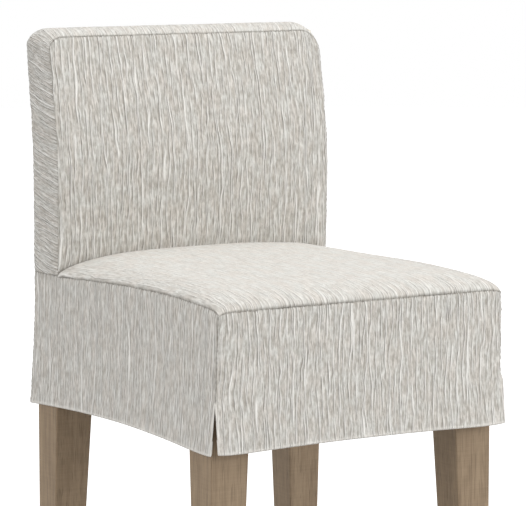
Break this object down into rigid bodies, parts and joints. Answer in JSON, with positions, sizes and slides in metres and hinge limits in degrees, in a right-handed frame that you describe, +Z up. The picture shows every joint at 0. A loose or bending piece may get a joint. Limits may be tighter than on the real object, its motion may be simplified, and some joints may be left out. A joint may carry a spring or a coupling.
{
  "type": "slipcovered bar stool",
  "caption": "Bar-height stool with a low slab back, padded seat, tapered wood legs and footrest, under a fitted skirted slipcover that lifts off.",
  "frame": {"origin": "on the floor, under the middle of the overall width and depth, with the levelers screwed right in", "axes": "+Z up, +X to the right seen from the front, -Y the way the sitter faces"},
  "size_m": [0.477, 0.547, 1.092],
  "materials": {
    "cover_fabric": "matte",
    "leg_wood": "satin",
    "frame_wood": "matte",
    "muslin": "matte",
    "foam": "matte",
    "webbing": "matte",
    "deck_cloth": "matte",
    "dust_cloth": "matte",
    "plated_steel": "satin",
    "kick_plate_steel": "satin",
    "leveler_plastic": "matte"
  },
  "bodies": {
    "stool": {"front_leg_left": "leg_wood", "front_leg_right": "leg_wood", "rear_leg_left": "leg_wood", "rear_leg_right": "leg_wood", "front_seat_rail": "frame_wood", "rear_seat_rail": "frame_wood", "side_seat_rail_left": "frame_wood", "side_seat_rail_right": "frame_wood", "upper_back_rail": "frame_wood", "lower_back_rail": "frame_wood", "rail_dowels": "frame_wood", "back_rail_dowels": "frame_wood", "corner_blocks": "frame_wood", "corner_bolts": "plated_steel", "corner_nuts": "plated_steel", "front_footrest": "leg_wood", "rear_stretcher": "leg_wood", "side_stretcher_left": "leg_wood", "side_stretcher_right": "leg_wood", "stretcher_dowels": "frame_wood", "footrest_kick_plate": "kick_plate_steel", "kick_plate_screws": "plated_steel", "leveler_inserts": "plated_steel", "seat_webbing_lengthwise": "webbing", "seat_webbing_crosswise": "webbing", "seat_deck_cloth": "deck_cloth", "seat_foam": "foam", "front_rail_pad": "foam", "seat_muslin": "muslin", "dust_cover": "dust_cloth", "dust_cover_staples": "plated_steel", "back_webbing": "webbing", "back_foam": "foam", "back_top_pad": "foam", "back_muslin": "muslin"},
    "slipcover": {"cover_inside_back": "cover_fabric", "cover_outside_back": "cover_fabric", "cover_back_boxing": "cover_fabric", "cover_seat_top": "cover_fabric", "cover_front_skirt": "cover_fabric", "cover_skirt_left": "cover_fabric", "cover_skirt_right": "cover_fabric"},
    "leveler_front_left": {"leveler_stud_front_left": "plated_steel", "leveler_pad_front_left": "leveler_plastic"},
    "leveler_front_right": {"leveler_stud_front_right": "plated_steel", "leveler_pad_front_right": "leveler_plastic"},
    "leveler_rear_left": {"leveler_stud_rear_left": "plated_steel", "leveler_pad_rear_left": "leveler_plastic"},
    "leveler_rear_right": {"leveler_stud_rear_right": "plated_steel", "leveler_pad_rear_right": "leveler_plastic"}
  },
  "joints": [
    {"name": "slipcover_lift", "type": "slide", "parent": "stool", "child": "slipcover", "axis": [0, 0.0508, 0.9987], "range_m": [0, 0.6]},
    {"name": "leveler_front_left_screw", "type": "slide", "parent": "stool", "child": "leveler_front_left", "axis": [0, 0, -1], "range_m": [0, 0.008]},
    {"name": "leveler_front_right_screw", "type": "slide", "parent": "stool", "child": "leveler_front_right", "axis": [0, 0, -1], "range_m": [0, 0.008]},
    {"name": "leveler_rear_left_screw", "type": "slide", "parent": "stool", "child": "leveler_rear_left", "axis": [0, 0, -1], "range_m": [0, 0.008]},
    {"name": "leveler_rear_right_screw", "type": "slide", "parent": "stool", "child": "leveler_rear_right", "axis": [0, 0, -1], "range_m": [0, 0.008]}
  ]
}
